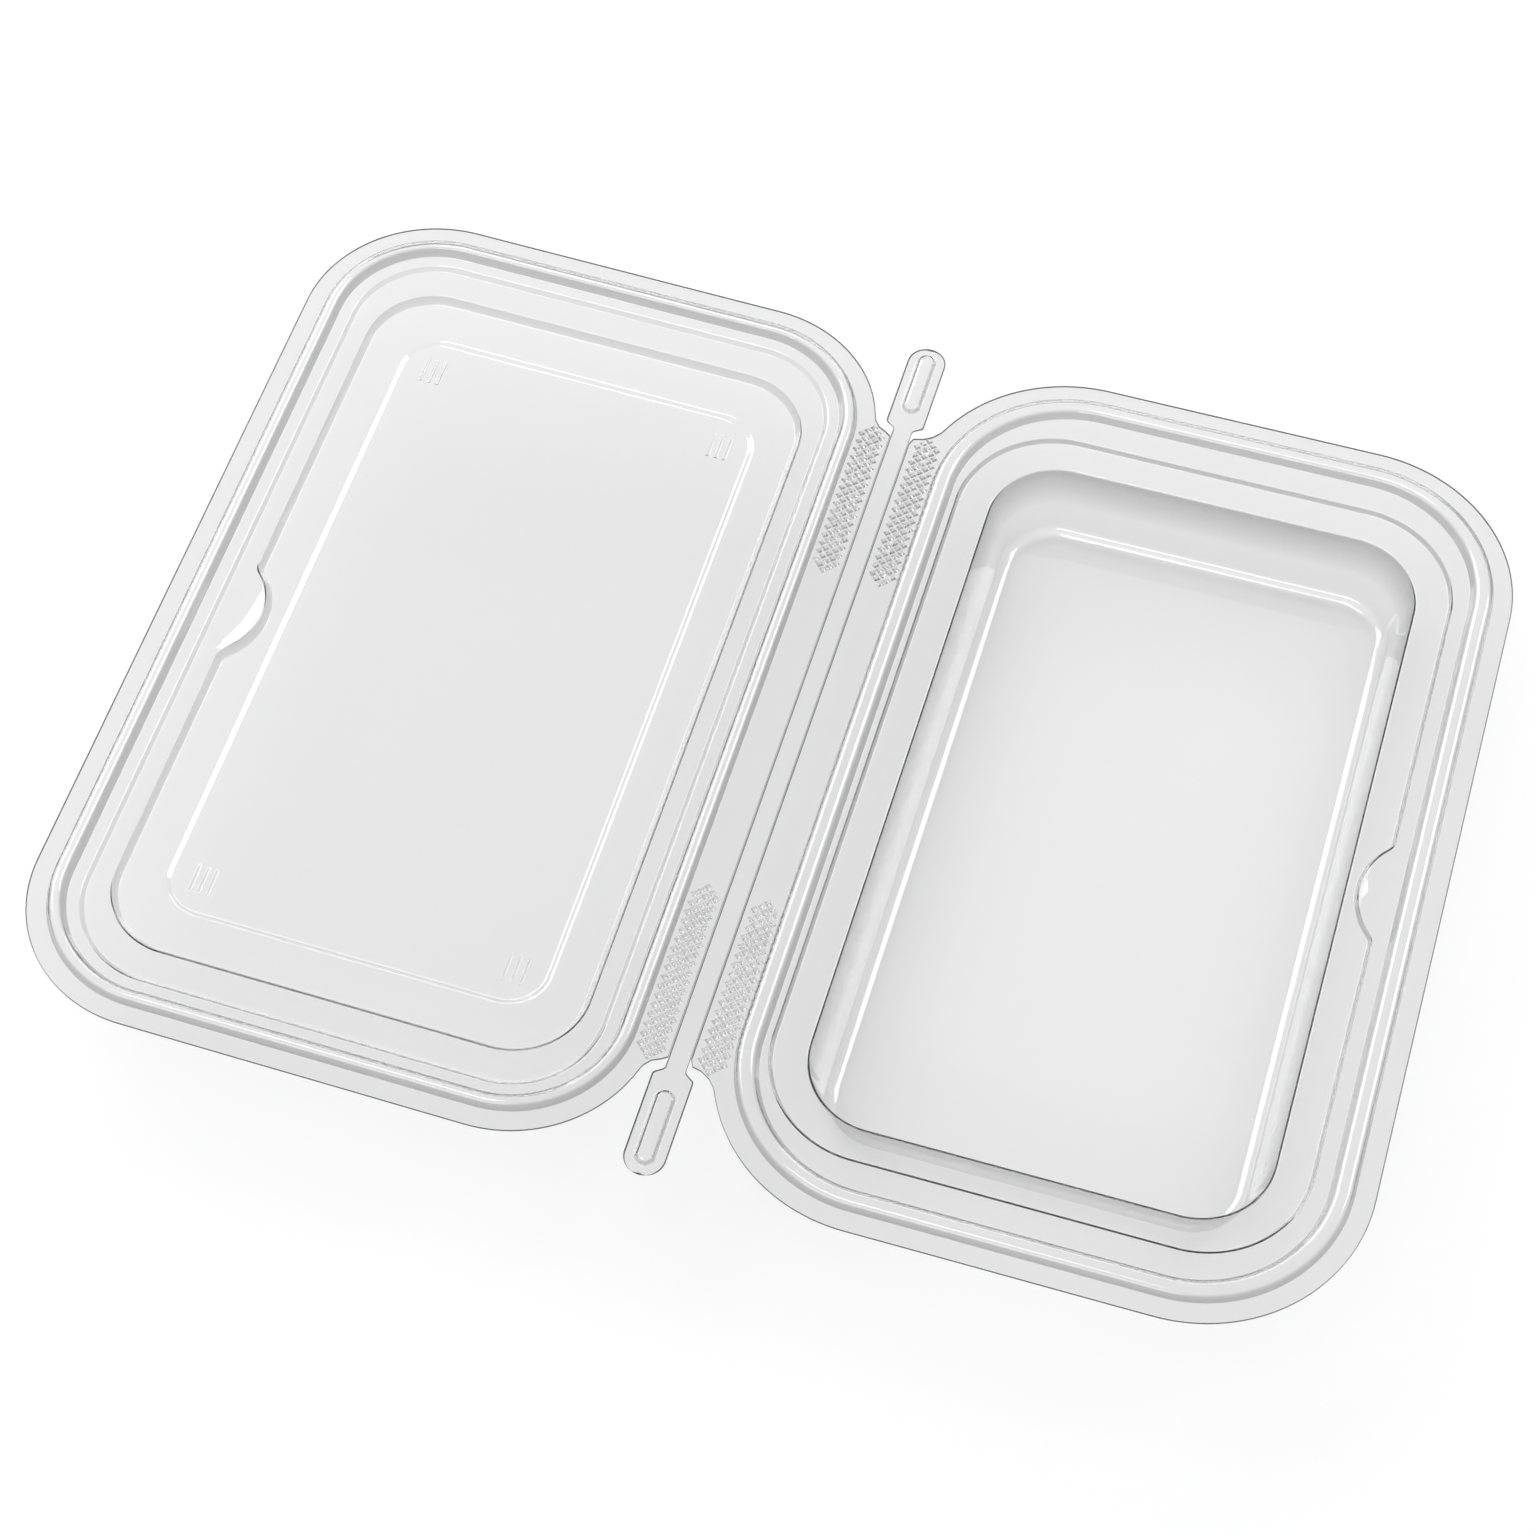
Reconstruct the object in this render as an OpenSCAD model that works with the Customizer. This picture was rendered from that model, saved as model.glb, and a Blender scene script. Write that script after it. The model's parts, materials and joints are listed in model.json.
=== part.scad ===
// Clear thermoformed clamshell pack, lying open: a shallow lid, a deeper tray and a tear strip between them.
// X runs across the pack with the lid towards -X, Y runs along the tear strip, Z is up.
// The origin is on the ground, under the middle of the open pack.

/* [Sheet] */
// Thickness of the formed sheet
sheet = 0.45; // [0.3:0.05:0.8]
// Inside radius of the soft bends
bend_r = 0.5; // [0.3:0.1:0.8]

/* [Outline] */
// Length of both flanges along the tear strip
pack_l = 210; // [180:1:260]
// Width of each half across its flange
half_w = 130; // [115:0.5:170]
// Corner radius of the tray's flange
base_r = 35; // [30:0.5:45]
// Corner radius of the lid's flange
lid_r = 29.5; // [26:0.5:40]

/* [Rim] */
// Width of the flat flange round both halves
flange_w = 3.7; // [2.5:0.1:5]
// Height of the crowns that meet when the pack is closed
crown_h = 1.9; // [1:0.1:2]
// Width of the tray's crown at its top
base_crown_w = 2.9; // [2:0.1:4]
// Width of the lid's crown at its top
lid_crown_w = 1.9; // [1.6:0.1:3]
// Width of each crown's sloping side
crown_run = 1.2; // [0.8:0.1:1.6]

/* [Tray] */
// Depth of the tray from the flange to the floor
base_depth = 18; // [12:0.5:40]
// Drop from the flange to the tray's ledge
ledge_drop = 0.4; // [0.1:0.1:1]
// Drop from the ledge to the tray's shelf
step_drop = 1.2; // [0.8:0.1:2.5]
// Width of the slope between the ledge and the shelf
step_run = 0.9; // [0.6:0.1:1.5]
// Mean width of the tray's ledge along its long sides
ledge_x = 2.3; // [2:0.1:5]
// Width of the tray's ledge along its short sides
ledge_y = 6; // [4:0.1:8]
// Corner radius of the ledge's inner edge
step_r = 22; // [18:0.5:26]
// Width of the shelf round the cavity, from the foot of the ledge's slope
shelf_w = 6.5; // [6.3:0.1:10]
// How far the cavity and the ledge's edge sit off the middle, towards the strip
cavity_shift = 1; // [0:0.1:1.2]
// Corner radius of the cavity's mouth
mouth_r = 15.5; // [13:0.5:20]
// How far each wall leans in from the mouth to the floor
wall_lean = 4.5; // [3:0.1:6]
// Radius of the bend between the walls and the floor
floor_bend = 3; // [2:0.1:4]

/* [Lid] */
// Angle by which the open lid's outer edge is raised
lid_lift = 2; // [0:0.1:6]
// Drop from the flange to the lid's gutter
gutter_drop = 0.5; // [0.1:0.1:1]
// Width of the lid's gutter
gutter_w = 2.4; // [1.8:0.1:3]
// Drop from the gutter to the lid's ledge
lid_ledge_drop = 1; // [0.6:0.1:1.5]
// Drop from the lid's ledge to its shelf
lid_step_drop = 1.9; // [1:0.1:3]
// Width of the slope between the lid's ledge and shelf
lid_step_run = 1.6; // [1:0.1:2]
// Inset of the lid ledge's inner edge at the long sides
lid_step_x = 15.2; // [14.5:0.1:18]
// Inset of the lid ledge's inner edge at the short sides
lid_step_y = 18; // [14.5:0.1:21]
// Corner radius of the lid ledge's inner edge
lid_step_r = 15.5; // [12:0.5:20]
// Drop from the lid's shelf to its panel
panel_drop = 0.8; // [0.5:0.1:1.5]
// Width of the slope round the panel
panel_run = 1.2; // [0.8:0.1:2]
// Inset of the panel's edge at the long sides
panel_x = 24.4; // [23:0.1:32]
// Inset of the panel's edge at the short sides
panel_y = 28.6; // [26:0.1:36]
// Corner radius of the panel's edge
panel_r = 9; // [7:0.5:14]

/* [Half moons] */
// Length of each half-moon along the ledge
moon_chord = 22; // [16:0.5:28]
// How far each half-moon reaches in over the shelf
moon_in = 5.4; // [4:0.1:6]
// Place of the tray's half-moon along the rim
base_moon_y = -2.5; // [-20:0.5:20]
// Place of the lid's half-moon along the rim
lid_moon_y = -6; // [-20:0.5:20]

/* [Tear strip] */
// Width of the strip between its creases, which sets the gap between the closed flanges
strip_w = 4.4; // [4.3:0.1:8]
// Width of the land between each crease and the flange
land_w = 3.4; // [2.5:0.1:5]
// Length of the bare neck between the end of the creases and a tab's shoulder
neck_l = 1.5; // [0.5:0.1:4]
// Width of the pull tabs
tab_w = 8.4; // [6:0.1:12]
// Length of the pull tabs
tab_l = 21.5; // [16:0.5:26]
// Length of the shoulder between the strip and a tab
shoulder_l = 2; // [1:0.1:4]
// Width of the bead on each tab
bead_w = 3.7; // [2.5:0.1:4.5]
// Length of the bead on each tab
bead_l = 16.5; // [10:0.5:18]
// Height of the bead above its tab
bead_h = 1.2; // [0.8:0.1:1.6]

/* [Hidden] */
$fn = 96;

clear = [0.90, 0.92, 0.93];
bend_steps = 3;
// how far neighbouring stretches of sheet lie over each other where they are joined
lap = 0.8;
// the same on the tray's shelf and floor, where the bends are wider
long_lap = 2;
// clearance past the sheet for cutting shapes
over = 1;
// points of a section are kept on this grid, so that its straight and round stretches meet exactly
grain = 0.001;
half = 0.5;

// Heights of the upper face of the sheet, measured from the flange
ledge_z = -ledge_drop;
shelf_z = ledge_z - step_drop;
floor_z = -base_depth;
gutter_z = -gutter_drop;
lid_ledge_z = gutter_z - lid_ledge_drop;
lid_shelf_z = lid_ledge_z - lid_step_drop;
panel_z = lid_shelf_z - panel_drop;

// Places of the two halves, measured from the middle of the strip
flange_z = base_depth + sheet;
crease_x = strip_w / 2;
crease_l = pack_l - 2 * (tab_l + shoulder_l + neck_l);
fold_to_middle = land_w + half_w / 2;

// Sections of the two rims, as [inset from the outline, height]
base_crown_end = flange_w + crown_run + base_crown_w;
base_ledge_in = base_crown_end + crown_run;
base_rim = [
    [0, 0],
    [flange_w, 0],
    [flange_w + crown_run, crown_h],
    [base_crown_end, crown_h],
    [base_ledge_in, ledge_z],
    [base_ledge_in + lap, ledge_z],
];
lid_crown_end = flange_w + crown_run + lid_crown_w;
gutter_end = lid_crown_end + crown_run + gutter_w;
lid_rim = [
    [0, 0],
    [flange_w, 0],
    [flange_w + crown_run, crown_h],
    [lid_crown_end, crown_h],
    [lid_crown_end + crown_run, gutter_z],
    [gutter_end, gutter_z],
    [gutter_end + crown_run, lid_ledge_z],
    [gutter_end + crown_run + lap, lid_ledge_z],
];

// Insets of the tray's ledge edge and of its cavity's mouth, before they are shifted
step_x = base_ledge_in + ledge_x;
step_y = base_ledge_in + ledge_y;
mouth_x = step_x + step_run + shelf_w;
mouth_y = step_y + step_run + shelf_w;

// Half-moons: part of a circle whose chord lies on the ledge's inner edge
moon_r = (pow(moon_chord / 2, 2) + pow(moon_in, 2)) / (2 * moon_in);

function unit(v) = v / norm(v);
function flip(points) = [for (i = [len(points) - 1:-1:0]) points[i]];
function below(a, b) = let (d = unit(b - a)) [d[1], -d[0]];
function mitre(n, m) = (n + m) / (1 + n * m);

// The lower face of a sheet whose upper face follows the path
function underside(path) = let (last = len(path) - 1) [
    for (i = [0:last])
        path[i] + sheet * (
            i == 0 ? below(path[0], path[1])
            : i == last ? below(path[last - 1], path[last])
            : mitre(below(path[i - 1], path[i]), below(path[i], path[i + 1]))
        )
];
function on_grid(points) = [for (p = points) [for (v = p) round(v / grain) * grain]];
function section(path) = on_grid(concat(path, flip(underside(path))));

// The points of one soft bend at b, between its neighbours a and c, with r its inside radius
function bend(a, b, c, r) =
    let (p = unit(a - b))
    let (q = unit(c - b))
    let (tangent = (r + sheet) * norm(p + q) / norm(p - q))
    let (reach = min(tangent, half * norm(a - b), half * norm(c - b)))
    [for (i = [0:bend_steps]) let (t = i / bend_steps)
        b + reach * (pow(1 - t, 2) * p + pow(t, 2) * q)];

// A path with every inner corner rounded
function soften(path, r) = let (last = len(path) - 1) [
    path[0],
    for (i = [1:last - 1]) each bend(path[i - 1], path[i], path[i + 1], r),
    path[last],
];

// Flat rounded rectangle
module rounded(w, l, r) {
    square([w - 2 * r, l], center = true);
    square([w, l - 2 * r], center = true);
    for (x = [-1, 1], y = [-1, 1])
        translate([x * (w / 2 - r), y * (l / 2 - r)])
            circle(r);
}

// A stretch of sheet carried round a rounded rectangle
module carried_round(w, l, r, path) {
    outline = section(path);
    for (i = [0:3]) {
        across = i % 2 == 0 ? w : l;
        along = i % 2 == 0 ? l : w;
        rotate([0, 0, 90 * i]) {
            translate([across / 2, along / 2 - r, 0])
                rotate([90, 0, 0])
                    linear_extrude(along - 2 * r)
                        polygon([for (p = outline) [-p[0], p[1]]]);
            translate([across / 2 - r, along / 2 - r, 0])
                rotate_extrude(angle = 90)
                    polygon([for (p = outline) [r - p[0], p[1]]]);
        }
    }
}

// A flat stretch of sheet whose upper face is at height z
module flat_sheet(z) {
    translate([0, 0, z - sheet])
        linear_extrude(sheet)
            children();
}

// A flat ring between two insets of the same half; the inner one may be shifted towards the strip
module flat_ring(w, l, outer, inner, z, shift = 0) {
    flat_sheet(z)
        difference() {
            rounded(w - 2 * outer[0], l - 2 * outer[1], outer[2]);
            translate([-shift, 0])
                rounded(w - 2 * inner[0], l - 2 * inner[1], inner[2]);
        }
}

// One slope between two levels, carried round an inset outline
module slope(w, l, at, run, top, low) {
    path = [[-lap, top], [0, top], [run, low], [run + lap, low]];
    carried_round(w - 2 * at[0], l - 2 * at[1], at[2], soften(path, bend_r));
}

// Shape of a half-moon seen from above; x is measured from the ledge's inner edge
module moon_plan(r, edge) {
    intersection() {
        translate([moon_r - moon_in, 0])
            circle(r);
        translate([-moon_in - over, -moon_chord])
            square([moon_in + over + edge, 2 * moon_chord]);
    }
}

// Cuts the ledge's slope and the shelf away under a half-moon
module moon_cut(run, top, low) {
    translate([0, 0, low - sheet - over])
        linear_extrude(top - low + sheet + 2 * over)
            moon_plan(moon_r - run, 0);
}

// The half-moon's own sheet: its flat top and the slope round it
module moon_sheet(run, top, low) {
    flat_sheet(top)
        moon_plan(moon_r - run - lap * half, lap * half);
    path = [[moon_r - run - lap, top], [moon_r - run, top], [moon_r, low], [moon_r + lap * half, low]];
    intersection() {
        translate([moon_r - moon_in, 0, 0])
            rotate_extrude()
                polygon(section(soften(path, bend_r)));
        translate([-moon_in - lap - over, -moon_chord, low - over])
            cube([moon_in + lap + over, 2 * moon_chord, top - low + 2 * over]);
    }
}

// The land beside a crease, seen from above; x is measured from the crease, towards a half with corner radius r
module land_plan(r) {
    corner = [land_w + r, pack_l / 2 - r];
    rise = crease_l / 2 - corner[1];
    // radius of the hollow fillet that runs from the crease's end into the flange's corner
    fillet = (pow(corner[0], 2) + pow(rise, 2) - pow(r, 2)) / (2 * (r - rise));
    centre = [0, crease_l / 2 + fillet];
    touch = corner + r * unit(centre - corner);
    difference() {
        translate([0, -touch[1]])
            square([touch[0], 2 * touch[1]]);
        for (y = [-1, 1])
            translate([0, y * centre[1]])
                circle(fillet);
    }
}

// The land's own sheet, lapped over the flange of a half with corner radius r
module land(r) {
    flat_sheet(0)
        difference() {
            land_plan(r);
            translate([fold_to_middle, 0])
                rounded(half_w - lap, pack_l - lap, r - lap * half);
        }
}

module base_tray() {
    w = half_w;
    l = pack_l;
    ledge_from = [base_ledge_in, base_ledge_in, base_r - base_ledge_in];
    step = [step_x, step_y, step_r];
    shelf_from = [step_x + step_run, step_y + step_run, step_r - step_run];
    mouth = [mouth_x, mouth_y, mouth_r];
    floor_in = wall_lean + floor_bend;
    wall = [[-long_lap, shelf_z], [0, shelf_z], [wall_lean, floor_z], [floor_in + long_lap, floor_z]];
    moon_at = [w / 2 - step_x - cavity_shift, base_moon_y, 0];
    color(clear)
        translate([crease_x, 0, flange_z]) {
            land(base_r);
            translate([fold_to_middle, 0, 0]) {
                difference() {
                    union() {
                        carried_round(w, l, base_r, soften(base_rim, bend_r));
                        flat_ring(w, l, ledge_from, step, ledge_z, cavity_shift);
                        translate([-cavity_shift, 0, 0]) {
                            slope(w, l, step, step_run, ledge_z, shelf_z);
                            flat_ring(w, l, shelf_from, mouth, shelf_z);
                            carried_round(w - 2 * mouth_x, l - 2 * mouth_y, mouth_r, soften(wall, floor_bend));
                            flat_sheet(floor_z)
                                rounded(w - 2 * (mouth_x + floor_in), l - 2 * (mouth_y + floor_in), mouth_r - floor_in);
                        }
                    }
                    translate(moon_at)
                        moon_cut(step_run, ledge_z, shelf_z);
                }
                translate(moon_at)
                    moon_sheet(step_run, ledge_z, shelf_z);
            }
        }
}

module lid() {
    w = half_w;
    l = pack_l;
    ledge_in = gutter_end + crown_run;
    ledge_from = [ledge_in, ledge_in, lid_r - ledge_in];
    step = [lid_step_x, lid_step_y, lid_step_r];
    shelf_from = [lid_step_x + lid_step_run, lid_step_y + lid_step_run, lid_step_r - lid_step_run];
    edge = [panel_x, panel_y, panel_r];
    inside_x = panel_x + panel_run;
    inside_y = panel_y + panel_run;
    color(clear)
        translate([-crease_x, 0, flange_z])
            rotate([0, lid_lift, 0])
                mirror([1, 0, 0]) {
                    land(lid_r);
                    translate([fold_to_middle, 0, 0]) {
                        difference() {
                            union() {
                                carried_round(w, l, lid_r, soften(lid_rim, bend_r));
                                flat_ring(w, l, ledge_from, step, lid_ledge_z);
                                slope(w, l, step, lid_step_run, lid_ledge_z, lid_shelf_z);
                                flat_ring(w, l, shelf_from, edge, lid_shelf_z);
                                slope(w, l, edge, panel_run, lid_shelf_z, panel_z);
                                flat_sheet(panel_z)
                                    rounded(w - 2 * inside_x, l - 2 * inside_y, panel_r - panel_run);
                            }
                            translate([w / 2 - lid_step_x, lid_moon_y, 0])
                                moon_cut(lid_step_run, lid_ledge_z, lid_shelf_z);
                        }
                        translate([w / 2 - lid_step_x, lid_moon_y, 0])
                            moon_sheet(lid_step_run, lid_ledge_z, lid_shelf_z);
                    }
                }
}

// A bar with round ends, lying along Y
module capsule(r, length) {
    rotate([90, 0, 0])
        cylinder(r = r, h = length - 2 * r, center = true);
    for (y = [-1, 1])
        translate([0, y * (length / 2 - r), 0])
            sphere(r);
}

// One pull tab with its shoulder, seen from above, from the strip's end outwards
module tab_plan(start) {
    tip = pack_l / 2 - tab_w / 2;
    polygon([
        [-strip_w / 2, start - lap],
        [strip_w / 2, start - lap],
        [strip_w / 2, start],
        [tab_w / 2, start + shoulder_l],
        [tab_w / 2, tip],
        [-tab_w / 2, tip],
        [-tab_w / 2, start + shoulder_l],
        [-strip_w / 2, start],
    ]);
    translate([0, tip])
        circle(tab_w / 2);
}

module tear_strip() {
    start = pack_l / 2 - tab_l - shoulder_l;
    // the bead is the cap of a lying bar that reaches bead_h above the tab and is bead_w wide where it leaves it
    bead_r = (pow(bead_w / 2, 2) + pow(bead_h, 2)) / (2 * bead_h);
    bead_y = pack_l / 2 - tab_w / 2 - (bead_l - bead_w) / 2;
    bead_bar = bead_l - bead_w + 2 * bead_r;
    color(clear)
        translate([0, 0, flange_z]) {
            difference() {
                flat_sheet(0) {
                    square([strip_w, 2 * start], center = true);
                    for (end = [0, 1])
                        mirror([0, end, 0])
                            tab_plan(start);
                }
                for (y = [-1, 1])
                    translate([0, y * bead_y, bead_h - bead_r])
                        capsule(bead_r - sheet, bead_bar - 2 * sheet);
            }
            for (y = [-1, 1])
                translate([0, y * bead_y, bead_h - bead_r])
                    difference() {
                        capsule(bead_r, bead_bar);
                        capsule(bead_r - sheet, bead_bar - 2 * sheet);
                        translate([-bead_bar, -bead_bar, -2 * bead_bar + bead_r - bead_h - sheet])
                            cube(2 * bead_bar);
                    }
        }
}

base_tray();
tear_strip();
lid();
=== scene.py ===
import json
import math
import random

import bmesh
import bpy
from mathutils import Matrix, Vector, noise


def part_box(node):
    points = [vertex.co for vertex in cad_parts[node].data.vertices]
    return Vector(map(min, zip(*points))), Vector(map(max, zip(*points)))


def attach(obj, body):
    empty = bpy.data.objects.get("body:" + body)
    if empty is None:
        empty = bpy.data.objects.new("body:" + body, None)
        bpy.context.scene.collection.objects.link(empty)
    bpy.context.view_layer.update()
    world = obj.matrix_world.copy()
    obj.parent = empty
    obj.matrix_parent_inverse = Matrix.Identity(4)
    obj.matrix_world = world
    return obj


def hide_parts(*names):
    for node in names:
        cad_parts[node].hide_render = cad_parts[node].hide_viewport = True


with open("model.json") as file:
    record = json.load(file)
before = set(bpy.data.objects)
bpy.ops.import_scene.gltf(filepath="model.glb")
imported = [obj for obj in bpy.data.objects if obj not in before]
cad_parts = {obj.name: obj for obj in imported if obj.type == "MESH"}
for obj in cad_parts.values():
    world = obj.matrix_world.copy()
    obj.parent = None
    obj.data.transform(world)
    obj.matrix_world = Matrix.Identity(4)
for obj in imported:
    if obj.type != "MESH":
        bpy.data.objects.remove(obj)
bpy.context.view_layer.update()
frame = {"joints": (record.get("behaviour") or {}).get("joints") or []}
mm = 0.001  # every size below is in millimetres

# where the solids put the two creases, the flange and the outer edges
foldAt = {joint["name"]: Vector(joint["pos_m"]) / mm for joint in frame["joints"]}
creaseX = foldAt["strip_fold"].x
flangeZ = foldAt["strip_fold"].z
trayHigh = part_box("base_tray")[1] / mm
halfLength = trayHigh.y
print("frame loaded, flange at", round(flangeZ, 2), "mm")

sheet = {"thickness": 0.45, "insideBend": 0.7, "bendSteps": 6, "sharpAngle": 40, "weld": 0.002,
         "waveHeight": 0.05, "waveLength": 34, "rippleHeight": 0.006, "rippleLength": 9,
         "curlDrop": 0.03, "curlWidth": 0.3, "curlParts": (0, 0.4, 0.7, 1)}

# the painted shade in the sheet's colour runs from undrawn to deep-drawn sheet and from slopes to flats,
# shade is the light let through square on and grazing
clearSheet = {"flatPaintedShade": (0.88, 1), "slopePaintedShade": (0.4, 0.86), "slopeDrawn": 0.6,
              "slopeFrom": 0.25, "flatFrom": 0.88, "roughness": 0.02, "bending": 1.55,
              "depthTint": (0.26, 0.26, 0.275, 1), "depthDensity": 130,
              "shade": (0.98, 0.7), "shadeFrom": 0.45}


def ranged(tree, value, givenEnds, newEnds, target):
    # carries a number from one range into another on its way to a socket
    node = tree.nodes.new("ShaderNodeMapRange")
    for name, number in zip(("From Min", "From Max", "To Min", "To Max"), (*givenEnds, *newEnds)):
        node.inputs[name].default_value = number
    tree.links.new(value, node.inputs["Value"])
    tree.links.new(node.outputs["Result"], target)
    return node


def mathNode(tree, operation):
    node = tree.nodes.new("ShaderNodeMath")
    node.operation = operation
    return node


def clearPlastic():
    material = bpy.data.materials.new("clear formed sheet")
    material.use_nodes = True
    tree = material.node_tree
    nodes, links = tree.nodes, tree.links
    output = nodes["Material Output"]
    shader = nodes["Principled BSDF"]
    shader.inputs["Roughness"].default_value = clearSheet["roughness"]
    shader.inputs["IOR"].default_value = clearSheet["bending"]
    shader.inputs["Transmission Weight"].default_value = 1

    # the longer light runs inside the sheet, the greyer it gets, so tight bends draw dark lines
    depth = nodes.new("ShaderNodeVolumeAbsorption")
    depth.inputs["Color"].default_value = clearSheet["depthTint"]
    depth.inputs["Density"].default_value = clearSheet["depthDensity"]
    links.new(depth.outputs["Volume"], output.inputs["Volume"])

    # painted shade: the sheet's colour is greyer on slopes than on flats and greyer where the sheet is
    # drawn less deep; deep-drawn sheet is thinner and clearer, but most of this grey stands in for shade
    drawn = nodes.new("ShaderNodeAttribute")
    drawn.attribute_name = "drawn"
    place = nodes.new("ShaderNodeTexCoord")
    split = nodes.new("ShaderNodeSeparateXYZ")
    links.new(place.outputs["Normal"], split.inputs["Vector"])
    level = mathNode(tree, "ABSOLUTE")
    links.new(split.outputs["Z"], level.inputs[0])
    paintedGrey = mathNode(tree, "MULTIPLY")
    links.new(paintedGrey.outputs["Value"], shader.inputs["Base Color"])
    ranged(tree, drawn.outputs["Fac"], (0, 1), clearSheet["flatPaintedShade"], paintedGrey.inputs[0])
    slopeEnds = (clearSheet["slopeFrom"], clearSheet["flatFrom"])
    slope = ranged(tree, level.outputs["Value"], slopeEnds, (1, 1), paintedGrey.inputs[1])
    ranged(tree, drawn.outputs["Fac"], (0, clearSheet["slopeDrawn"]), clearSheet["slopePaintedShade"],
           slope.inputs["To Min"])

    # lamps and the floor's own light pass straight through, a little weakened
    path = nodes.new("ShaderNodeLightPath")
    either = mathNode(tree, "MAXIMUM")
    links.new(path.outputs["Is Shadow Ray"], either.inputs[0])
    links.new(path.outputs["Is Diffuse Ray"], either.inputs[1])
    through = nodes.new("ShaderNodeBsdfTransparent")
    slant = nodes.new("ShaderNodeLayerWeight")
    shade = ranged(tree, slant.outputs["Facing"], (clearSheet["shadeFrom"], 1), clearSheet["shade"],
                   through.inputs["Color"])
    shade.interpolation_type = "SMOOTHSTEP"
    mix = nodes.new("ShaderNodeMixShader")
    links.new(either.outputs["Value"], mix.inputs["Fac"])
    links.new(shader.outputs["BSDF"], mix.inputs[1])
    links.new(through.outputs["BSDF"], mix.inputs[2])
    links.new(mix.outputs["Shader"], output.inputs["Surface"])
    return material


# painted shade: the dark colour given to the sheet's cut edges
edgePaintedShade = {"colour": (0.05, 0.052, 0.054, 1), "roughness": 0.45}


def paintedDarkEdge():
    # painted shade: where the sheet is cut through, light is trapped and the edge reads as a thin dark
    # line, so the cut edge gets a dark opaque colour
    material = bpy.data.materials.new("cut edge painted dark")
    material.use_nodes = True
    shader = material.node_tree.nodes["Principled BSDF"]
    shader.inputs["Base Color"].default_value = edgePaintedShade["colour"]
    shader.inputs["Roughness"].default_value = edgePaintedShade["roughness"]
    return material


plastic = clearPlastic()
darkEdge = paintedDarkEdge()
print("materials ready")


def bendRound(before, corner, after, inside):
    # an arc in place of a corner of the section, wider where the upper face is the outside of the bend
    back = (before - corner).normalized()
    ahead = (after - corner).normalized()
    turn = math.pi - back.angle(ahead)
    fallsAway = back.cross(ahead) > 0
    radius = inside + (sheet["thickness"] if fallsAway else 0)
    reach = min(radius * math.tan(turn / 2), (before - corner).length / 2, (after - corner).length / 2)
    radius = reach / math.tan(turn / 2)
    centre = corner + (back + ahead).normalized() * radius / math.cos(turn / 2)
    spoke = corner + back * reach - centre
    sweep = -turn if fallsAway else turn
    steps = sheet["bendSteps"]
    return [centre + Matrix.Rotation(sweep * k / steps, 2) @ spoke for k in range(steps + 1)]


def roundedSection(points):
    # the inner corners of a section become arcs, with their own radius where a third number gives one,
    # and the first and last points only give directions
    path = [Vector(p[:2]) for p in points]
    found = []
    for k in range(1, len(path) - 1):
        inside = points[k][2] if len(points[k]) > 2 else sheet["insideBend"]
        found += bendRound(path[k - 1], path[k], path[k + 1], inside)
    return found


def curl(fromEdge):
    # how far the cut edge of the sheet bends down
    return sheet["curlDrop"] * max(1 - fromEdge / sheet["curlWidth"], 0) ** 2


# how finely each stretch of the outline is divided
perimeter = {"cornerSteps": 32, "shortSide": 26, "hingeSide": 56, "moonSteps": 50, "besideMoon": 22,
             "moonShare": 0.75}


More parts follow.
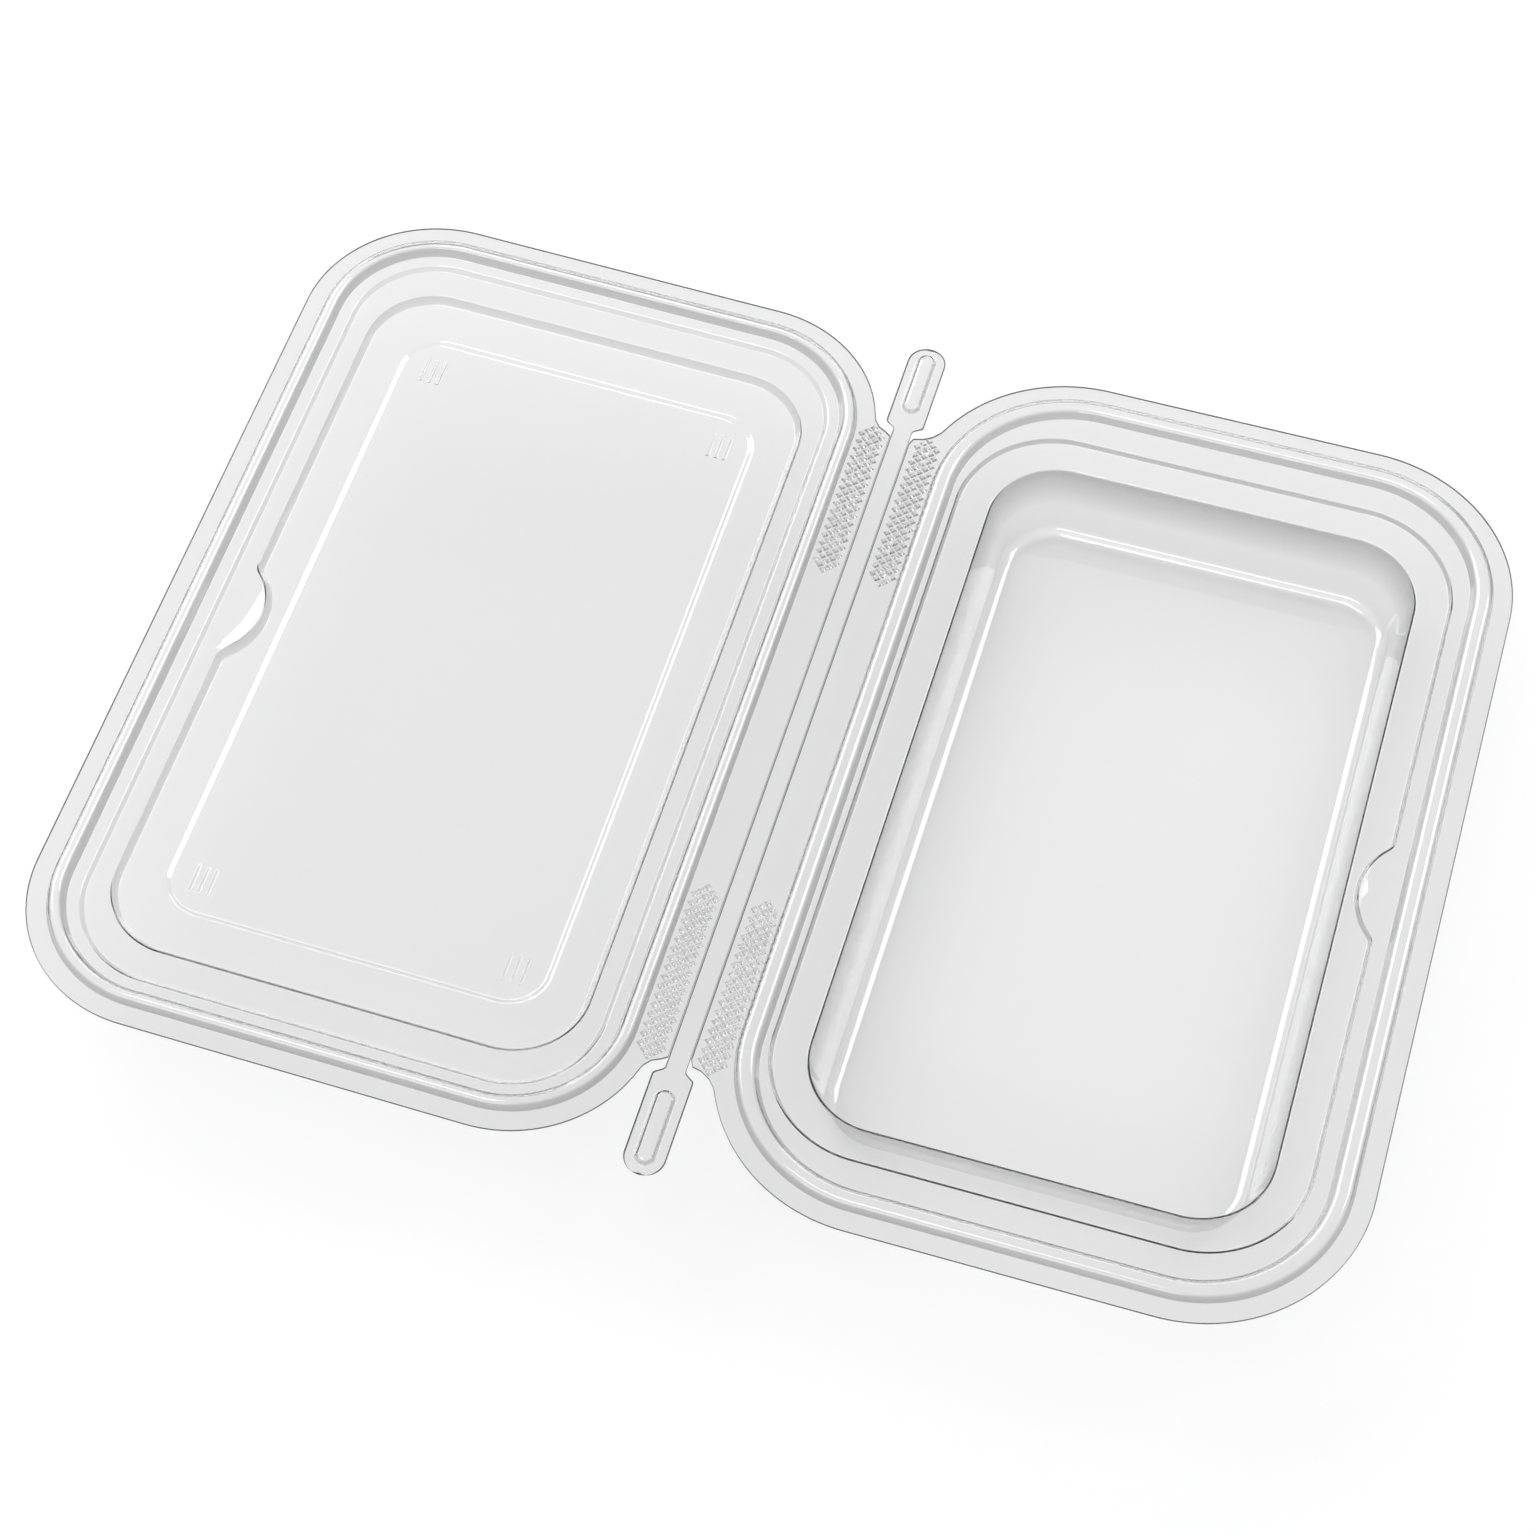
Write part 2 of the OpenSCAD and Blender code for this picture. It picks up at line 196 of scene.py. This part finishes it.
class Half:
    # one half of the pack, seen from its own crease: u runs away from the strip, y along it,
    # z up from the flange

    def __init__(self, shape, outerU):
        self.shape = shape
        self.halfWidth = (outerU - shape["landWidth"]) / 2
        self.middleU = shape["landWidth"] + self.halfWidth
        self.stations = self.laidOut()
        self.rings = []

    def laidOut(self):
        # places round the outline: long outer side, far corner and so on, anticlockwise
        moonY = self.shape["moonY"]
        reach = self.shape["moonChord"] * perimeter["moonShare"]
        straight = halfLength - self.shape["corner"]
        ends = [-straight, moonY - reach, moonY + reach, straight]
        counts = [perimeter["besideMoon"], perimeter["moonSteps"], perimeter["besideMoon"]]
        outer = []
        for low, high, count in zip(ends, ends[1:], counts):
            outer += [low + (high - low) * k / count for k in range(count)]
        outer = [(y / straight + 1) / 2 for y in outer[1:]]

        def even(count):
            return [k / count for k in range(1, count)]

        shortSide = even(perimeter["shortSide"])
        turns = perimeter["cornerSteps"]
        found = []
        for quarter, side in enumerate([outer, shortSide, even(perimeter["hingeSide"]), shortSide]):
            found += [("side", quarter, t) for t in side]
            found += [("corner", quarter, k / turns) for k in range(turns + 1)]
        return found

    def outlinePoint(self, station, insetU, insetY, radius, shift):
        kind, quarter, t = station
        reachU = self.halfWidth - insetU - radius
        reachY = halfLength - insetY - radius
        corners = [Vector((reachU, -reachY)), Vector((reachU, reachY)),
                   Vector((-reachU, reachY)), Vector((-reachU, -reachY))]
        start, end = corners[quarter], corners[(quarter + 1) % 4]
        facing = Matrix.Rotation(quarter * math.pi / 2, 2) @ Vector((radius, 0))
        if kind == "side":
            place = start.lerp(end, t) + facing
        else:
            place = end + Matrix.Rotation(t * math.pi / 2, 2) @ facing
        return place + Vector((self.middleU + shift, 0))

    def moonReach(self, y, offset):
        # how far the ledge's edge, moved in by the offset, is pushed towards the middle by the half-moon
        shape = self.shape
        depth, fillet = shape["moonIn"], shape["moonFillet"]
        radius = ((shape["moonChord"] / 2) ** 2 + depth ** 2) / (2 * depth)
        centre = depth - radius
        away = abs(y - shape["moonY"])
        apart = math.sqrt((radius + fillet) ** 2 - (fillet - centre) ** 2)
        touch = apart * radius / (radius + fillet)
        grown, shrunk = radius + offset, max(fillet - offset, 0.01)
        if away >= apart:
            return 0
        if away >= touch * grown / radius:
            return fillet - math.sqrt(max(shrunk ** 2 - (apart - away) ** 2, 0)) - offset
        return centre + math.sqrt(grown ** 2 - away ** 2) - offset

    def addRings(self, group, section, moon=0, shift=0):
        insetU, insetY, corner = group
        for point in section:
            self.rings.append({"u": insetU + point.x, "y": insetY + point.x, "corner": corner - point.x,
                               "z": point.y, "shift": shift, "moon": moon, "offset": point.x, "dish": 0})

    def addFlat(self, count, moonFrom=0, moonTo=0, dish=0):
        # marks a flat stretch: rings spaced evenly to the next ring are put in later
        self.rings.append({"flat": count, "moonFrom": moonFrom, "moonTo": moonTo, "dish": dish})

    def filledRings(self):
        found = []
        for k, ring in enumerate(self.rings):
            if "flat" not in ring:
                found.append(ring)
                continue
            before, after = self.rings[k - 1], self.rings[k + 1]
            for step in range(1, ring["flat"] + 1):
                t = step / (ring["flat"] + 1)
                mixed = {name: before[name] + (after[name] - before[name]) * t
                         for name in ("u", "y", "corner", "z", "shift")}
                share = ring["moonFrom"] + (ring["moonTo"] - ring["moonFrom"]) * t
                mixed.update(moon=share, offset=after["offset"] if ring["moonTo"] else before["offset"],
                             dish=ring["dish"] * math.sin(math.pi * t))
                found.append(mixed)
        return found

    def landEdge(self, points):
        # the cut edge beside the crease: the outline pushed out to it, with a hollow fillet at each end
        shape = self.shape
        radius, land = shape["corner"], shape["landWidth"]
        creaseEnd = shape["creaseEnd"]
        corner = Vector((land + radius, halfLength - radius))
        rise = creaseEnd - corner.y
        fillet = (corner.x ** 2 + rise ** 2 - radius ** 2) / (2 * (radius - rise))
        hub = Vector((0, creaseEnd + fillet))
        touchAngle = math.atan2(hub.y - corner.y, corner.x - hub.x)
        straight = creaseEnd - corner.y
        sweep = math.pi / 2 - touchAngle
        length = straight + fillet * sweep
        moved = []
        for (kind, quarter, t), place in zip(self.stations, points):
            fromHinge = None
            if kind == "corner" and quarter in (1, 2):
                fromHinge = (1 - t if quarter == 1 else t) * math.pi / 2
            if kind == "side" and quarter == 2:
                place = Vector((0, place.y))
            elif fromHinge is not None and fromHinge < touchAngle:
                run = length * fromHinge / touchAngle
                up = 1 if quarter == 1 else -1
                if run <= straight:
                    place = Vector((0, up * (corner.y + run)))
                else:
                    angle = (run - straight) / fillet
                    place = Vector((fillet * math.sin(angle), up * (hub.y - fillet * math.cos(angle))))
            moved.append(place)
        return moved

    def ringPoints(self, ring):
        places = []
        for station in self.stations:
            place = self.outlinePoint(station, ring["u"], ring["y"], ring["corner"], ring["shift"])
            height = ring["z"]
            if ring["moon"] and station[:2] == ("side", 0):
                reach = self.moonReach(place.y, ring["offset"])
                place.x -= ring["moon"] * reach
                height += ring["dish"] * reach / self.shape["moonIn"]
            places.append(place.to_3d() + Vector((0, 0, height)))
        return places

    def curledEdge(self):
        # the cut edge all round, bent down a little, as rows from the edge inwards
        corner = self.shape["corner"]
        edge = self.landEdge([self.outlinePoint(station, 0, 0, corner, 0) for station in self.stations])
        inward = []
        for before, after in zip(edge[-1:] + edge[:-1], edge[1:] + edge[:1]):
            along = (after - before).normalized()
            inward.append(Vector((-along.y, along.x)))
        for part in sheet["curlParts"]:
            away = part * sheet["curlWidth"]
            down = Vector((0, 0, curl(away)))
            yield [(place + side * away).to_3d() - down for place, side in zip(edge, inward)]

    def upperFace(self):
        mesh = bmesh.new()
        drawn = mesh.verts.layers.float.new("drawn")
        places = list(self.curledEdge()) + [self.ringPoints(ring) for ring in self.filledRings()]
        rows = [[mesh.verts.new(place) for place in row] for row in places]
        # painted shade: how deep each place is drawn, scaled by the shape's stretch, sets how grey the
        # sheet's colour is
        for vert in mesh.verts:  # the material reads how deep each place is drawn
            vert[drawn] = self.shape["stretch"] * min(max(-vert.co.z / self.shape["depth"], 0), 1)
        count = len(self.stations)
        for outer, inner in zip(rows, rows[1:]):
            for k in range(count):
                after = (k + 1) % count
                face = mesh.faces.new((outer[k], outer[after], inner[after], inner[k]))
                # the outermost row gets the dark painted shade of the cut edge
                face.material_index = 1 if outer is rows[0] else 0  # the outermost row is the trimmed edge
        mesh.faces.new(rows[-1])
        bmesh.ops.remove_doubles(mesh, verts=mesh.verts, dist=sheet["weld"])
        bmesh.ops.recalc_face_normals(mesh, faces=mesh.faces)
        return mesh


def waveAt(u, y):
    # formed sheet is never quite flat
    place = Vector((u, y, 0))
    broad = sheet["waveHeight"] * noise.noise(place / sheet["waveLength"])
    return broad + sheet["rippleHeight"] * noise.noise(place / sheet["rippleLength"])


def wave(mesh):
    for vert in mesh.verts:
        vert.co.z += waveAt(vert.co.x, vert.co.y)


def thickened(name, mesh, placing):
    # gives the upper face its thickness and puts it in the frame, in metres
    if sum(face.normal.z * face.calc_area() for face in mesh.faces) < 0:
        bmesh.ops.reverse_faces(mesh, faces=mesh.faces)
    data = bpy.data.meshes.new(name)
    mesh.to_mesh(data)
    mesh.free()
    data.transform(placing)
    if placing.determinant() < 0:
        data.flip_normals()
    data.materials.append(plastic)
    data.materials.append(darkEdge)
    piece = bpy.data.objects.new(name, data)
    bpy.context.scene.collection.objects.link(piece)
    solid = piece.modifiers.new("thickness", "SOLIDIFY")
    solid.thickness = sheet["thickness"] * mm
    solid.offset = -1
    solid.use_even_offset = True
    # the cut rim faces get the dark painted shade of the cut edge
    solid.material_offset_rim = 1
    graph = bpy.context.evaluated_depsgraph_get()
    piece.data = bpy.data.meshes.new_from_object(piece.evaluated_get(graph))
    piece.modifiers.clear()
    piece.data.shade_smooth()
    piece.data.set_sharp_from_angle(angle=math.radians(sheet["sharpAngle"]))
    return piece


lidLift = 2  # degrees by which the open lid's outer edge is raised


def trayPlacing():
    return Matrix.Scale(mm, 4) @ Matrix.Translation((creaseX, 0, flangeZ))


def lidPlacing():
    lift = Matrix.Rotation(math.radians(lidLift), 4, "Y")
    mirrored = Matrix.Scale(-1, 4, (1, 0, 0))
    return Matrix.Scale(mm, 4) @ Matrix.Translation((-creaseX, 0, flangeZ)) @ lift @ mirrored


trayShape = {
    "corner": 35, "landWidth": 3.4, "creaseEnd": 80,
    "rim": [(0, 0), (4, 0, 0.1), (4.9, 1.9, 1.2), (7.8, 1.9, 1.4), (9.0, -0.4, 0.2), (9.8, -0.4)],
    "step": (11.3, 15, 22), "stepSection": [(-1, -0.4), (0, -0.4, 0.06), (0.6, -1.6, 0.3), (3, -1.6)],
    "mouth": (18.7, 22.4, 15.5), "wallSection": [(-4, -1.6), (0, -1.6, 0.3), (4.5, -18, 3.2), (12, -18)],
    "cavityShift": -1, "floor": (50, 54, 0.8), "depth": 18, "stretch": 1,
    "ledgeRings": 9, "shelfRings": 4, "floorRings": 6,
    "moonChord": 22, "moonIn": 4.9, "moonFillet": 3, "moonY": -2.5, "moonDish": -0.7,
}


def makeTray():
    shape = trayShape
    half = Half(shape, trayHigh.x - creaseX)
    shift = shape["cavityShift"]
    half.addRings((0, 0, shape["corner"]), roundedSection(shape["rim"]))
    half.addFlat(shape["ledgeRings"], 0, 1, shape["moonDish"])
    half.addRings(shape["step"], roundedSection(shape["stepSection"]), 1, shift)
    half.addFlat(shape["shelfRings"], 1, 0)
    half.addRings(shape["mouth"], roundedSection(shape["wallSection"]), 0, shift)
    half.addFlat(shape["floorRings"])
    half.addRings(shape["floor"], [Vector((0, shape["wallSection"][-1][1]))], 0, shift)
    mesh = half.upperFace()
    wave(mesh)
    piece = thickened("tray", mesh, trayPlacing())
    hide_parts("base_tray")
    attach(piece, "base")
    return piece


lidShape = {
    "corner": 29.5, "landWidth": 3.4, "creaseEnd": 80,
    "rim": [(0, 0), (4, 0, 0.1), (4.9, 1.9, 1.2), (6.8, 1.9, 1.2), (8.0, -0.5, 0.2), (10.4, -0.5, 0.5),
            (11.4, -1.5, 0.3), (13.5, -1.5)],
    "step": (15.2, 18, 15.5), "stepSection": [(-2, -1.5), (0, -1.5, 0.06), (1.2, -3.4, 0.4), (4, -3.4)],
    "panel": (24.4, 28.6, 9), "panelSection": [(-4, -3.4), (0, -3.4, 1.2), (1.2, -4.2, 1.2), (4, -4.2)],
    "middle": (50, 54, 0.8), "depth": 4.2, "stretch": 0.45,
    "ledgeRings": 9, "shelfRings": 4, "middleRings": 6,
    "moonChord": 22, "moonIn": 5.4, "moonFillet": 3, "moonY": -6, "moonDish": -0.7,
}


def makeLid():
    shape = lidShape
    half = Half(shape, trayHigh.x - creaseX)
    half.addRings((0, 0, shape["corner"]), roundedSection(shape["rim"]))
    half.addFlat(shape["ledgeRings"], 0, 1, shape["moonDish"])
    half.addRings(shape["step"], roundedSection(shape["stepSection"]), 1)
    half.addFlat(shape["shelfRings"], 1, 0)
    half.addRings(shape["panel"], roundedSection(shape["panelSection"]))
    half.addFlat(shape["middleRings"])
    half.addRings(shape["middle"], [Vector((0, shape["panelSection"][-1][1]))])
    mesh = half.upperFace()
    wave(mesh)
    piece = thickened("lid", mesh, lidPlacing())
    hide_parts("lid")
    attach(piece, "cover")
    return piece


stripShape = {"creaseGap": 0.1, "tabWidth": 8.4, "tabLength": 21.5, "shoulder": 2,
              "beadWidth": 4.5, "beadLength": 16.8, "beadHeight": 1.2, "beadWall": 0.65, "beadEdge": 0.65,
              "columns": 36, "rowStep": 0.3, "longStep": 2, "tipSteps": 24}


def stripHalfWidth(y):
    # half the strip's width at a place along it
    shape = stripShape
    narrow = creaseX - shape["creaseGap"]
    wide = shape["tabWidth"] / 2
    tip = halfLength - wide
    start = halfLength - shape["tabLength"] - shape["shoulder"]
    y = abs(y)
    if y <= start:
        return narrow
    if y <= start + shape["shoulder"]:
        t = (y - start) / shape["shoulder"]
        return narrow + (wide - narrow) * t * t * (3 - 2 * t)
    if y <= tip:
        return wide
    return math.sqrt(max(wide ** 2 - (y - tip) ** 2, 0))


def beadRise(x, y):
    # height of the round-ended bead on a tab
    shape = stripShape
    halfWide = shape["beadWidth"] / 2
    tipY = halfLength - shape["tabWidth"] / 2
    nearY = tipY - (shape["beadLength"] - shape["beadWidth"])
    along = min(max(abs(y), nearY), tipY)
    away = math.hypot(x, abs(y) - along)
    # a steep wall all round, then a gently crowned top
    wall = min(max((halfWide - away) / shape["beadWall"], 0), 1)
    crown = max(1 - (away / halfWide) ** 2, 0)
    top = shape["beadEdge"] + (1 - shape["beadEdge"]) * crown
    return shape["beadHeight"] * wall * wall * (3 - 2 * wall) * top


def makeStrip():
    shape = stripShape
    start = halfLength - shape["tabLength"] - shape["shoulder"]
    tip = halfLength - shape["tabWidth"] / 2
    # rows from the middle to a tab's tip: wide steps, then fine ones, then round the tip
    count = math.ceil(start / shape["longStep"])
    along = [start * k / count for k in range(count)]
    count = math.ceil((tip - start) / shape["rowStep"])
    along += [start + (tip - start) * k / count for k in range(count)]
    turns = shape["tipSteps"]
    along += [tip + shape["tabWidth"] / 2 * math.sin(math.pi / 2 * k / turns) for k in range(turns + 1)]
    along = [-y for y in reversed(along[1:])] + along
    mesh = bmesh.new()
    rows = []
    for y in along:
        wide = stripHalfWidth(y)
        row = []
        for k in range(shape["columns"] + 1):
            x = wide * (2 * k / shape["columns"] - 1)
            rise = beadRise(x, y) if abs(y) > start else 0
            row.append(mesh.verts.new((x, y, rise - curl(wide - abs(x)))))
        rows.append(row)
    for low, high in zip(rows, rows[1:]):
        for k in range(shape["columns"]):
            face = mesh.faces.new((low[k], low[k + 1], high[k + 1], high[k]))
            # the strip's outermost columns get the dark painted shade of the cut edge
            face.material_index = 1 if k in (0, shape["columns"] - 1) else 0
    bmesh.ops.remove_doubles(mesh, verts=mesh.verts, dist=sheet["weld"])
    placing = Matrix.Scale(mm, 4) @ Matrix.Translation((0, 0, flangeZ))
    piece = thickened("tearStrip", mesh, placing)
    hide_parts("tear_strip")
    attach(piece, "strip")
    return piece


# the blocks' drawn value sets how much painted shade the sheet's colour gives them
blockShape = {"seat": 0.01, "drawn": 0.15}  # of the grips' blocks and the ribs alike


def addBlock(mesh, centre, across, along, base, levels):
    # a small raised block, closed below: square rings as (half size across, half size along, height)
    rings = []
    for halfAcross, halfAlong, height in levels:
        ring = []
        for sideA, sideB in ((-1, -1), (1, -1), (1, 1), (-1, 1)):
            place = centre + across * halfAcross * sideA + along * halfAlong * sideB
            rise = base + blockShape["seat"] + height + waveAt(place.x, place.y)
            ring.append(mesh.verts.new((place.x, place.y, rise)))
        rings.append(ring)
    for low, high in zip(rings, rings[1:]):
        for k in range(4):
            after = (k + 1) % 4
            mesh.faces.new((low[k], low[after], high[after], high[k]))
    mesh.faces.new(rings[-1])
    mesh.faces.new(list(reversed(rings[0])))


def placed(name, mesh, placing, body):
    # a finished closed mesh, put in the frame
    bmesh.ops.recalc_face_normals(mesh, faces=mesh.faces)
    data = bpy.data.meshes.new(name)
    mesh.to_mesh(data)
    mesh.free()
    data.transform(placing)
    if placing.determinant() < 0:
        data.flip_normals()
    data.materials.append(plastic)
    # the same drawn value on every vertex gives the blocks one level of painted shade
    drawn = data.attributes.new("drawn", "FLOAT", "POINT")
    drawn.data.foreach_set("value", [blockShape["drawn"]] * len(data.vertices))
    piece = bpy.data.objects.new(name, data)
    bpy.context.scene.collection.objects.link(piece)
    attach(piece, body)
    return piece


gripShape = {"pitch": 1.55, "groove": 0.16, "height": 0.5, "shoulder": 0.8, "slope": 0.7, "crown": 0.22,
             "width": 6.6, "length": 41, "middleY": 60.5, "trayMiddleU": 4.2, "lidMiddleU": 3.9,
             "unevenness": 0.14, "seed": 7}


def makeGrip(name, middleU, placing, body):
    # two knurled patches beside a crease, each a field of small blocks within a round-ended outline
    shape = gripShape
    pitch = shape["pitch"]
    across, along = Vector((1, 1)).normalized(), Vector((-1, 1)).normalized()
    block = (pitch - shape["groove"]) / 2
    shoulder = block - shape["slope"] / 2
    top = shoulder - shape["crown"]
    levels = [(block, block, 0), (shoulder, shoulder, shape["height"] * shape["shoulder"]),
              (top, top, shape["height"])]
    reach = math.ceil(shape["length"] / pitch)
    straight = shape["length"] / 2 - shape["width"] / 2
    mesh = bmesh.new()
    draw = random.Random(shape["seed"])
    for end in (-1, 1):
        for row in range(-reach, reach + 1):
            for column in range(-reach, reach + 1):
                spot = across * row * pitch + along * column * pitch
                beyond = max(abs(spot.y) - straight, 0)
                if math.hypot(spot.x, beyond) > shape["width"] / 2 - block / 2:
                    continue
                centre = spot + Vector((middleU, end * shape["middleY"]))
                lean = Matrix.Rotation(draw.uniform(-1, 1) * shape["unevenness"], 2)
                share = 1 - draw.random() * shape["unevenness"]
                addBlock(mesh, centre, lean @ across * share, lean @ along * share, 0, levels)
    return placed(name, mesh, placing, body)


# shoulder and crown: half width and shortening as shares of the width, height as a share of the height
ribShape = {"length": 6.5, "width": 0.9, "height": 0.22, "spacing": 1.9, "count": 3,
            "shoulder": (0.36, 0.2, 0.75), "crown": (0.15, 0.4, 1), "insetU": 7.5, "insetY": 8.5}


def makeRibs():
    # short stacking ribs in the corners of the lid's panel
    shape, lid = ribShape, lidShape
    panelU, panelY, _ = lid["panel"]
    panelZ = lid["panelSection"][-1][1]
    halfWidth = (trayHigh.x - creaseX - lid["landWidth"]) / 2
    halfU = halfWidth - panelU - shape["insetU"]
    halfY = halfLength - panelY - shape["insetY"]
    width, halfRib = shape["width"], shape["length"] / 2
    levels = [(width / 2, halfRib, 0)]
    for wide, short, high in (shape["shoulder"], shape["crown"]):
        levels.append((width * wide, halfRib - width * short, shape["height"] * high))
    mesh = bmesh.new()
    for sideU in (-1, 1):
        for sideY in (-1, 1):
            for k in range(shape["count"]):
                shift = (k - (shape["count"] - 1) / 2) * shape["spacing"]
                centre = Vector((lid["landWidth"] + halfWidth + sideU * halfU + shift, sideY * halfY))
                addBlock(mesh, centre, Vector((1, 0)), Vector((0, 1)), panelZ, levels)
    return placed("stackingRibs", mesh, lidPlacing(), "cover")


pieces = [makeTray(), makeLid(), makeStrip(), makeRibs(),
          makeGrip("trayGrip", gripShape["trayMiddleU"], trayPlacing(), "base"),
          makeGrip("lidGrip", gripShape["lidMiddleU"], lidPlacing(), "cover")]
for piece in pieces:
    print(piece.name, len(piece.data.polygons), "faces")

# each lamp: name, place, width and height, brightness
studio = {"floorColour": (0.93, 0.93, 0.93, 1), "floorRoughness": 0.9, "floorDrop": 0.05, "floorSize": 8000,
          "domeEdge": 0.16, "domeTop": 0.55, "edgeHeight": 0.6,
          "windowSide": (-1, 0.6, 0.1), "windowShare": 0.4,
          "lamps": [("leftSoftbox", (-1980, 1364, 1496), (1980, 1540), 3.4),
                    ("rightSoftbox", (1760, 1452, 1694), (924, 1320), 4.0),
                    ("backSoftbox", (-484, 2530, 1232), (2420, 700), 4.2),
                    ("topSoftbox", (-418, -396, 2574), (1232, 440), 5.5),
                    ("frontSoftbox", (-396, -2156, 1320), (1980, 520), 3.4)]}


def makeFloor():
    floorMesh = bpy.data.meshes.new("floor")
    reach = studio["floorSize"] * mm / 2
    low = -studio["floorDrop"] * mm
    corners = [(-reach, -reach, low), (reach, -reach, low), (reach, reach, low), (-reach, reach, low)]
    floorMesh.from_pydata(corners, [], [(0, 1, 2, 3)])
    floor = bpy.data.objects.new("floor", floorMesh)
    bpy.context.scene.collection.objects.link(floor)
    paper = bpy.data.materials.new("white paper")
    paper.use_nodes = True
    shader = paper.node_tree.nodes["Principled BSDF"]
    shader.inputs["Base Color"].default_value = studio["floorColour"]
    shader.inputs["Roughness"].default_value = studio["floorRoughness"]
    shader.inputs["Specular IOR Level"].default_value = 0
    floorMesh.materials.append(paper)


def makeDome():
    # an overhead dome, dimmer at the horizon and brighter towards the window
    world = bpy.data.worlds.new("dome")
    bpy.context.scene.world = world
    world.use_nodes = True
    tree = world.node_tree
    sky = tree.nodes["Background"]
    sky.inputs["Color"].default_value = (1, 1, 1, 1)
    place = tree.nodes.new("ShaderNodeTexCoord")
    split = tree.nodes.new("ShaderNodeSeparateXYZ")
    tree.links.new(place.outputs["Generated"], split.inputs["Vector"])
    facing = tree.nodes.new("ShaderNodeVectorMath")
    facing.operation = "DOT_PRODUCT"
    facing.inputs[1].default_value = Vector(studio["windowSide"]).normalized()
    tree.links.new(place.outputs["Generated"], facing.inputs[0])
    share = mathNode(tree, "MULTIPLY_ADD")
    share.inputs[1].default_value = studio["windowShare"]
    share.inputs[2].default_value = 1
    tree.links.new(facing.outputs["Value"], share.inputs[0])
    both = mathNode(tree, "MULTIPLY")
    glow = (studio["domeEdge"], studio["domeTop"])
    rise = ranged(tree, split.outputs["Z"], (0, studio["edgeHeight"]), glow, both.inputs[0])
    rise.interpolation_type = "SMOOTHSTEP"
    tree.links.new(share.outputs["Value"], both.inputs[1])
    tree.links.new(both.outputs["Value"], sky.inputs["Strength"])


def makeLamps():
    for name, place, (wide, tall), brightness in studio["lamps"]:
        data = bpy.data.lights.new(name, "AREA")
        data.shape = "RECTANGLE"
        data.size, data.size_y = wide * mm, tall * mm
        data.energy = brightness * math.pi * wide * tall * mm * mm
        lamp = bpy.data.objects.new(name, data)
        lamp.location = Vector(place) * mm
        lamp.rotation_euler = (-Vector(place)).to_track_quat("-Z", "Y").to_euler()
        bpy.context.scene.collection.objects.link(lamp)


makeFloor()
makeDome()
makeLamps()
print("studio ready")

viewpoint = {"place": (109.2, -376.1, 622.8), "aim": (-2.9, -10.2, 18.45), "roll": -0.23, "lens": 82.03,
             "sensor": 36, "nearest": 10}


def makeCamera():
    data = bpy.data.cameras.new("camera")
    data.lens = viewpoint["lens"]
    data.sensor_width = viewpoint["sensor"]
    data.clip_start = viewpoint["nearest"] * mm
    camera = bpy.data.objects.new("camera", data)
    place, aim = Vector(viewpoint["place"]) * mm, Vector(viewpoint["aim"]) * mm
    camera.location = place
    roll = Matrix.Rotation(math.radians(viewpoint["roll"]), 3, "Z")
    camera.rotation_euler = ((aim - place).to_track_quat("-Z", "Y").to_matrix() @ roll).to_euler()
    bpy.context.scene.collection.objects.link(camera)
    bpy.context.scene.camera = camera


makeCamera()
bpy.context.scene.view_settings.view_transform = "Standard"
bpy.context.view_layer.update()
